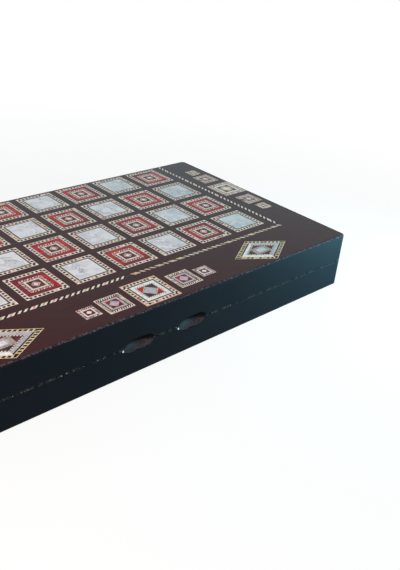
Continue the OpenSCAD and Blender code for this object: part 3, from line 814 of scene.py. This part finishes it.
# %% [markdown]
# The ornaments at the sides are paler, with dark corners and broad leaning bands. The front ones in other
# colours would come near, but their rings lie elsewhere, so they are motifs of their own. They are drawn as
# wide as the front ones, and scaled down when they are laid.

# %% Side ornaments
def side_large():
    """Beige line, leaning band, beige, white and umber rings, and holly in beige and peach."""
    half = LARGE / 2
    return [
        *lines(half, 0, (0.6, "beige")),
        studs(half, 0.6, 5.2, 14, ["peach", "beige", "cream", "grey"], ("umber", "pink"), 0.15, lean=1.8),
        *lines(half, 5.2, (6.4, "beige"), (9.2, "white"), (9.7, "umber")),
        corners(9.1, 6.6, ["umber", "maroon", "maroon", "maroon"]),
        *plate([(9.1, 6.6, "beige"), (6.6, 4.9, "peach")], (4.4, 3.4, "ivory")),
    ]


def side_medium():
    """Beige line, leaning band, a lilac ring, and lemonwood in beige, umber and pink."""
    half = MEDIUM / 2
    return [
        *lines(half, 0, (0.5, "beige")),
        studs(half, 0.5, 5.0, 11, ["beige", "peach", "grey"], ("umber", "pink"), 0.15, lean=1.6),
        *lines(half, 5.0, (6.2, "lilac")),
        corners(5.95, 4.6, ["umber", "maroon", "umber", "maroon"]),
        *plate([(5.95, 4.6, "beige"), (5.0, 4.0, "umber"), (4.1, 3.4, "pink")], (2.4, 2.0, "cream")),
    ]


def side_small():
    """A band of beads, umber and cream rings, and lemonwood in peach and umber."""
    half = SMALL / 2
    return [
        studs(half, 0, 1.9, 11, ["beige", "peach"], ("cream", "umber"), 0.3),
        *lines(half, 1.9, (2.2, "umber"), (3.5, "cream")),
        corners(4.25, 3.4, "black"),
        *plate([(4.25, 3.4, "peach"), (3.2, 2.4, "umber")], (1.9, 1.5, "cream")),
    ]


print("side ornaments drawn", LARGE, MEDIUM, "and", SMALL, "mm wide")

# %% [markdown]
# The rhombus in each front corner is worked out as a square motif too, and leaned over when it is laid.
# That way it needs no tools of its own, and its cells lean with it, as those of a real leaning rod do.

# %% Rhombus
def rhombus():
    """Studs, rings of shell and bone, fine beads and a pearl heart. The lean turns +X into rear right and +Y
    into rear left, so its sides are front right, rear right, rear left and front left, and its corners are
    right, rear, left and front."""
    half = LARGE / 2
    return [
        *lines(half, 0, (0.6, "straw")),
        studs(half, 0.6, 3.2, 19, ["black", "straw"], ("orange", "peach"), 0.12, widths=(1.6, 1)),
        *lines(half, 3.2, (3.7, "straw")),
        paint(belt(square(half - 3.7), square(half - 5.0)), ["black", "silver", "black", "white"]),
        paint(belt(square(half - 5.0), square(half - 7.9)), ["silver", "silver", "white", "white"]),
        *lines(half, 7.9, (8.5, "grey")),
        studs(half, 8.5, 9.5, 18, ["umber", "white"]),
        corners(9.3, 8.2, ["maroon", "maroon", "umber", "umber"]),
        *plate([(9.3, 8.2, "beige"), (7.6, 6.7, "grey"), (5.6, 4.9, "silver")], (4.0, 3.5, "pearl")),
    ]


print("before it leans the rhombus is", LARGE, "mm wide")

# %% [markdown]
# ## From pattern to plate
# A plate is as thick as the veneer and lies flush in its pocket. Where small pieces meet in a T, the corner
# of one lies in the middle of another's edge, and the seam would stay open. The corners could be found and
# added one by one, but one flat triangulation of the whole jigsaw cuts every edge at every corner on it.

# %% Flat jigsaws
ONLY_INSIDE, SNAP = 1, 0.002


def placed(motif, turn, at):
    """A motif's layers moved to a place: each point is multiplied by the matrix turn, then moved by at."""
    return [(polygons @ np.array(turn, float) + at, finish) for polygons, finish in motif]


def joined(layers):
    """A jigsaw of anticlockwise polygons as points, triangles that share their corners, and the finish of
    each. A triangle has the finish of the first polygon that it came from."""
    sizes = np.concatenate([np.full(len(p), p.shape[1]) for p, _ in layers])
    finish = np.concatenate([f for _, f in layers])
    points = np.concatenate([p.reshape(-1, 2) for p, _ in layers])
    faces = [c.tolist() for c in np.split(np.arange(len(points)), np.cumsum(sizes)[:-1])]
    made = delaunay_2d_cdt(points.tolist(), [], faces, ONLY_INSIDE, SNAP)
    points, triangles = np.array([tuple(v) for v in made[0]]), np.array(made[2])
    return points, triangles, finish[[came_from[0] for came_from in made[5]]]


print("corners within", SNAP, "mm become one")

# %% [markdown]
# Walls and a back close the plate, so that it is a solid thing and not a sheet. Thickening could be left to
# a modifier, but the back is only the face turned over, and a wall stands wherever no second triangle
# shares an edge. Everything is laid on the upper half, and the lower half is its mirror image.

# %% Closed plates
VENEER_T = (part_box("upper_front_border")[1].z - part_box("upper_front_border")[0].z) / MM
FACE, BACK = top_z, top_z - VENEER_T
ROUND = 1.5


def height(y):
    """Height of the outer face. Past the line half_y - r it falls as a circle: top - r plus the root of r
    squared less past squared."""
    past = np.clip(y - (half_y - ROUND), 0, ROUND)
    return FACE - ROUND + np.sqrt(ROUND**2 - past**2)


def closed(half, layers):
    """Points, faces and finishes of a closed plate. Of n points in the face, point k has its double at k + n
    in the back. An edge from a to b is on the rim if no edge runs from b to a, and its wall joins both edges
    to their doubles. Back and walls are umber."""
    flat, triangles, finish = joined(layers)
    count = len(flat)
    points = np.r_[np.c_[flat, height(flat[:, 1])], np.c_[flat, np.full(count, BACK)]]
    a, b = triangles.ravel(), np.roll(triangles, -1, 1).ravel()
    on_rim = ~np.isin(a * count + b, b * count + a)
    a, b = a[on_rim], b[on_rim]
    groups = [triangles, triangles[:, ::-1] + count, np.c_[a + count, b + count, b, a]]
    if half == "lower":
        points = points * (1, 1, -1) + (0, 0, top_z)
        groups = [faces[:, ::-1] for faces in groups]
    return points, groups, np.r_[finish, np.full(len(triangles) + len(a), CODES.index("umber"))]


print("veneer", round(VENEER_T, 2), "mm thick")

# %% [markdown]
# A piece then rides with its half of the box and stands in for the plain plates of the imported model. The
# arrays go into the mesh as a whole, which is many times faster than adding face by face, and each finish
# in use gets one material slot.

# %% Plates as pieces
def plates(name, half, layers, stands_for):
    """One closed piece of plates in the outer face of a half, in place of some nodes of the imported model."""
    points, groups, finish = closed(half, layers)
    sizes = np.concatenate([np.full(len(faces), faces.shape[1]) for faces in groups])
    used, slots = np.unique(finish, return_inverse=True)

    mesh = bpy.data.meshes.new(name)
    mesh.vertices.add(len(points))
    mesh.vertices.foreach_set("co", (points * MM).ravel())
    mesh.loops.add(sizes.sum())
    mesh.loops.foreach_set("vertex_index", np.concatenate([faces.ravel() for faces in groups]))
    mesh.polygons.add(len(sizes))
    mesh.polygons.foreach_set("loop_start", np.r_[0, np.cumsum(sizes)[:-1]])
    mesh.polygons.foreach_set("loop_total", sizes)
    for code in used:
        mesh.materials.append(FINISHES[CODES[code]])
    mesh.polygons.foreach_set("material_index", slots)
    mesh.shade_flat()
    mesh.update()
    mesh.validate()

    piece = bpy.data.objects.new(name, mesh)
    bpy.context.scene.collection.objects.link(piece)
    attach(piece, f"{half}_half")
    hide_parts(*[f"{half}_{n}" for n in stands_for])
    return piece


print("ready to lay plates")

# %% [markdown]
# ## Lay the chess field
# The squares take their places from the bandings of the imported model, in equal steps between the two ends
# of that node's box, so they can't drift from their pockets. A red square follows a pearl one in each row,
# and the two halves start differently, so that the open board is a whole chess field. One piece could hold
# it all, but a piece for each row is easier to pick and to hide while learning.

# %% Chess field
COLUMNS, ROWS = 8, 4


def seen_flat(box):
    """The front left and the rear right corner of a box, seen from above, in mm."""
    return [np.array(corner)[:2] / MM for corner in box]


for half, first_red in (("upper", 1), ("lower", 0)):
    low, high = seen_flat(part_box(f"{half}_square_bandings"))
    pitch = (high - low - SQUARE_W) / (COLUMNS - 1, ROWS - 1)
    start = np.array([low[0], high[1]]) + (SQUARE_W / 2, -SQUARE_W / 2)
    for row in range(ROWS):
        layers = []
        for column in range(COLUMNS):
            at = start + (column, -row) * pitch
            motif = red_square() if (column + row) % 2 == first_red else pearl_square()
            layers += placed(motif, np.eye(2), at)
        stands_for = ("square_bandings", "pearl_squares", "red_squares")
        piece = plates(f"{half}_chess_row_{row + 1}", half, layers, stands_for)
    print(half, "field:", ROWS * COLUMNS, "squares,", len(piece.data.polygons), "faces in the last row")

# %% [markdown]
# ## Lay the ornaments
# Five ornaments lie in a row before the field and five at each side: a large one in the middle, then two
# medium and two small ones. Each could be placed by its own two numbers. The real rows are symmetric, so
# two distances from the middle are enough for five.

# %% Rows of ornaments
FRONT_OFFS, SIDE_OFFS = (37.4, 61.8), (35.2, 57.6)
SIDE_LARGE, SIDE_MEDIUM, SIDE_SMALL = 33.0, 21.9, 13.9


def row_of_five(middle, along, sizes, offs, motifs):
    """A large ornament with a medium and a small one on each side. Each lies at the middle plus its own
    distance times the direction along."""
    layers = []
    for number, off in ((0, 0), (1, -offs[0]), (1, offs[0]), (2, -offs[1]), (2, offs[1])):
        at = np.array(middle) + off * np.array(along)
        scale = sizes[number] / (LARGE, MEDIUM, SMALL)[number]
        layers += placed(motifs[number](), np.eye(2) * scale, at)
    return layers


print("rows of", 1 + 2 * len(FRONT_OFFS), "ornaments")

# %% [markdown]
# The rhombuses go in the front corners. Leaning is one matrix: the two directions of the square motif
# become two sides of the rhombus, which is as simple as moving it and keeps all seams closed.

# %% Ornaments and rhombuses
RHOMB_LONG = 35.8

for half in HALVES:
    low, high = seen_flat(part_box(f"{half}_front_ornaments"))
    motifs = (front_large, front_medium, front_small)
    middle = (0, (low[1] + high[1]) / 2)
    layers = row_of_five(middle, (1, 0), (LARGE, MEDIUM, SMALL), FRONT_OFFS, motifs)
    plates(f"{half}_front_row", half, layers, ["front_ornaments"])

    low, high = seen_flat(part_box(f"{half}_side_ornaments"))
    motifs, sizes = (side_large, side_medium, side_small), (SIDE_LARGE, SIDE_MEDIUM, SIDE_SMALL)
    layers = []
    for side in (-1, 1):
        middle = (side * (high[0] - SIDE_LARGE / 2), (low[1] + high[1]) / 2)
        layers += row_of_five(middle, (0, 1), sizes, SIDE_OFFS, motifs)
    plates(f"{half}_side_rows", half, layers, ["side_ornaments"])

    low, high = seen_flat(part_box(f"{half}_corner_rhombuses"))
    short = (high[1] - low[1]) / 2
    lean = np.array([[RHOMB_LONG, short], [-RHOMB_LONG, short]]) / LARGE
    layers = []
    for side in (-1, 1):
        at = (side * (high[0] - RHOMB_LONG), (low[1] + high[1]) / 2)
        layers += placed(rhombus(), lean, at)
    plates(f"{half}_corner_pair", half, layers, ["corner_rhombuses"])
print("ornaments laid")

# %% [markdown]
# ## Lay the rope border
# A strip of slanting lozenges runs round three sides of the field, and gives the eye a twisted rope. Black
# ones stand between light ones, and now and then a light one is split in three, with a dyed wood in the
# middle. One cell copied along the strip would look machine made, so the dice choose.

# %% Rope lozenges
ROPE_W, SLANT = 3.4, 3.7
SINGLE, SPLIT = (2.9, 2.8, 0, 0), (2.9, 2.1, 2.2, 2.1)
FRONT_SPLIT, SIDE_SPLIT = 0.3, 0.1


def lozenges(length, chance, plain):
    """Cuts along a strip and the finishes between them: black, then a plain lozenge or, by chance, a split
    one."""
    count = round(length / (chance * sum(SPLIT) + (1 - chance) * sum(SINGLE)))
    widths = np.where(dice.random(count)[:, None] < chance, SPLIT, SINGLE)
    first, last = dice.choice(plain, (2, count))
    dyed = dice.choice(["orange", "green", "pink", "peach"], count)
    names = np.stack([np.full(count, "black"), first, dyed, last], axis=1)
    keep = widths.ravel() > 0
    cuts = np.r_[0, np.cumsum(widths.ravel()[keep])]
    return cuts * length / cuts[-1], names.ravel()[keep]


def slanted(cuts, start, out_from, out_to):
    """Parallelograms of a strip: cuts run along one edge from start, and out_from to out_to crosses it."""
    near, far = cuts[:-1, None] * start, cuts[1:, None] * start
    return np.stack([near + out_from, far + out_from, far + out_to, near + out_to], axis=1)


print(len(lozenges(200, FRONT_SPLIT, ["cream"])[1]), "pieces in 200 mm of rope")

# %% [markdown]
# The slant turns over in the middle of the front, so one side of the strip is worked out and the other is
# its mirror image with other dice. At the rear the strip runs out over the rounded edge in a short plain
# tail, which the height function bends down. A bent copy of the pattern there would be too small to see.

# %% Rope border
TAIL_STEPS, TAIL_END = 6, 0.02
TAIL = np.linspace(0, np.sqrt(ROUND**2 - (ROUND - VENEER_T) ** 2) - TAIL_END, TAIL_STEPS)


def right_rope(x1, y0, woods):
    """The right half of the strip, whose outer edges are at x1 and y0: the front, the side, and the plain
    pieces in its middle, its mitre and its end."""
    x0, yi, y1 = x1 - ROPE_W, y0 + ROPE_W, half_y - ROUND
    cuts, names = lozenges(x1 - SLANT, FRONT_SPLIT, woods)
    front = paint(slanted(cuts, np.array([1, 0]), np.array([SLANT, y0]), np.array([0, yi])), names)
    cuts, names = lozenges(y1 - SLANT - yi, SIDE_SPLIT, ["cream"])
    upright = paint(slanted(cuts, np.array([0, 1]), np.array([x1, yi + SLANT]), np.array([x0, yi])), names)
    middle = np.array([[[0, y0], [SLANT, y0], [0, yi]]])
    mitre = np.array([[[x1 - SLANT, yi], [x1, y0], [x0, yi]], [[x0, yi], [x1, y0], [x1, yi + SLANT]]])
    last = np.array([[[x0, y1 - SLANT], [x1, y1], [x0, y1]]])
    near, far = y1 + TAIL[:-1], y1 + TAIL[1:]
    tail = np.stack([[x0 + 0 * near, near], [x1 + 0 * near, near], [x1 + 0 * far, far], [x0 + 0 * far, far]])
    return [front, upright, *[paint(p, "umber") for p in (middle, mitre, last, tail.transpose(2, 0, 1))]]


for half in HALVES:
    low, high = seen_flat(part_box(f"{half}_rope_border"))
    layers = []
    for side, woods in ((-1, ["cream"]), (1, ["straw", "cream", "peach", "straw"])):
        for polygons, codes in right_rope(high[0], low[1], woods):
            layers.append((polygons[:, ::side] * (side, 1), codes))
    plates(f"{half}_rope", half, layers, ["rope_border"])
print("rope laid")

# %% [markdown]
# ## Playing field
# Inside, each tray has a walnut sheet with points of maple and rosewood. All three are plain sliced
# veneers, which give the eye long streaks with finer dark pores. The pores could be cut as bumps, but under
# satin lacquer only their colour shows, so one function with two noises makes them all. The pores are drawn
# about twice as wide as real ones, which would be too fine to show.

# %% Woods of the playing field
WOOD_SPECULAR, PORE_COVER = 0.15, 0.35


def sliced_wood(name, dark, light, streak, rough):
    """Veneer with grain along X: broad streaks between two tones and fine dark pores. Streak is in mm."""
    material, tree, shader, place = new_material(name)
    spread = {"Value": grain(tree, place, length=90, width=streak), "From Min": 0.3, "From Max": 0.7}
    spread = add(tree, "ShaderNodeMapRange", spread).outputs[0]
    pores = {"Value": grain(tree, place, length=6, width=0.4), "From Min": 0.6, "From Max": 0.7}
    pores = add(tree, "ShaderNodeMapRange", {**pores, "To Max": PORE_COVER}).outputs[0]
    tone = linear(dark)
    for share, colour in ((spread, light), (pores, dark)):
        tone = {SHARE: share, UNDER: tone, OVER: linear(colour)}
        tone = add(tree, "ShaderNodeMix", tone, data_type="RGBA").outputs[MIXED]
    feed(shader, {"Base Color": tone, "Roughness": rough, "Specular IOR Level": WOOD_SPECULAR})
    return material


woods = {
    "playing_sheet": sliced_wood("satin walnut veneer", "#5c3b27", "#8d6243", 5, 0.4),
    "light_points": sliced_wood("satin maple veneer", "#c9a370", "#e8cfa6", 4, 0.38),
    "dark_points": sliced_wood("satin rosewood veneer", "#2f0a09", "#641a15", 3, 0.38),
}
for name, wood in woods.items():
    for half in HALVES:
        dress(f"{half}_{name}", wood)
print(len(woods), "woods inside")

# %% [markdown]
# ## Hinges
# The butt hinges and their screws are drawn brass, brushed along the hinge and a little dull where hands
# don't polish them, and the pins are bright steel wire. Fine scratches could be bumps, but a gloss that
# changes in thin streaks gives the eye the same soft sheen. The streaks are coarser than those of a real
# brush, which wouldn't show.

# %% Brass and steel
def brushed(name, dull, bright, low, high):
    """Metal with fine brushing along X, which sets its roughness between low and high, and a tarnish that
    wanders between a dull and a bright tone."""
    material, tree, shader, place = new_material(name)
    clean = patches(tree, place, size=6, start=0.35, end=0.65, Detail=4)
    tone = {SHARE: clean, UNDER: linear(dull), OVER: linear(bright)}
    tone = add(tree, "ShaderNodeMix", tone, data_type="RGBA").outputs[MIXED]
    rough = {"Value": grain(tree, place, length=12, width=0.15), "To Min": low, "To Max": high}
    rough = add(tree, "ShaderNodeMapRange", rough).outputs[0]
    feed(shader, {"Base Color": tone, "Roughness": rough, "Metallic": 1.0})
    return material


brass = brushed("brushed brass", "#a5813c", "#d8b66a", low=0.22, high=0.42)
steel = brushed("drawn steel wire", "#8d9196", "#b9bdc1", low=0.2, high=0.35)
for name in nodes:
    if "hinge_" in name and "rail" not in name:
        dress(name, steel if name.endswith("pin") else brass)
print("hinges in brass")
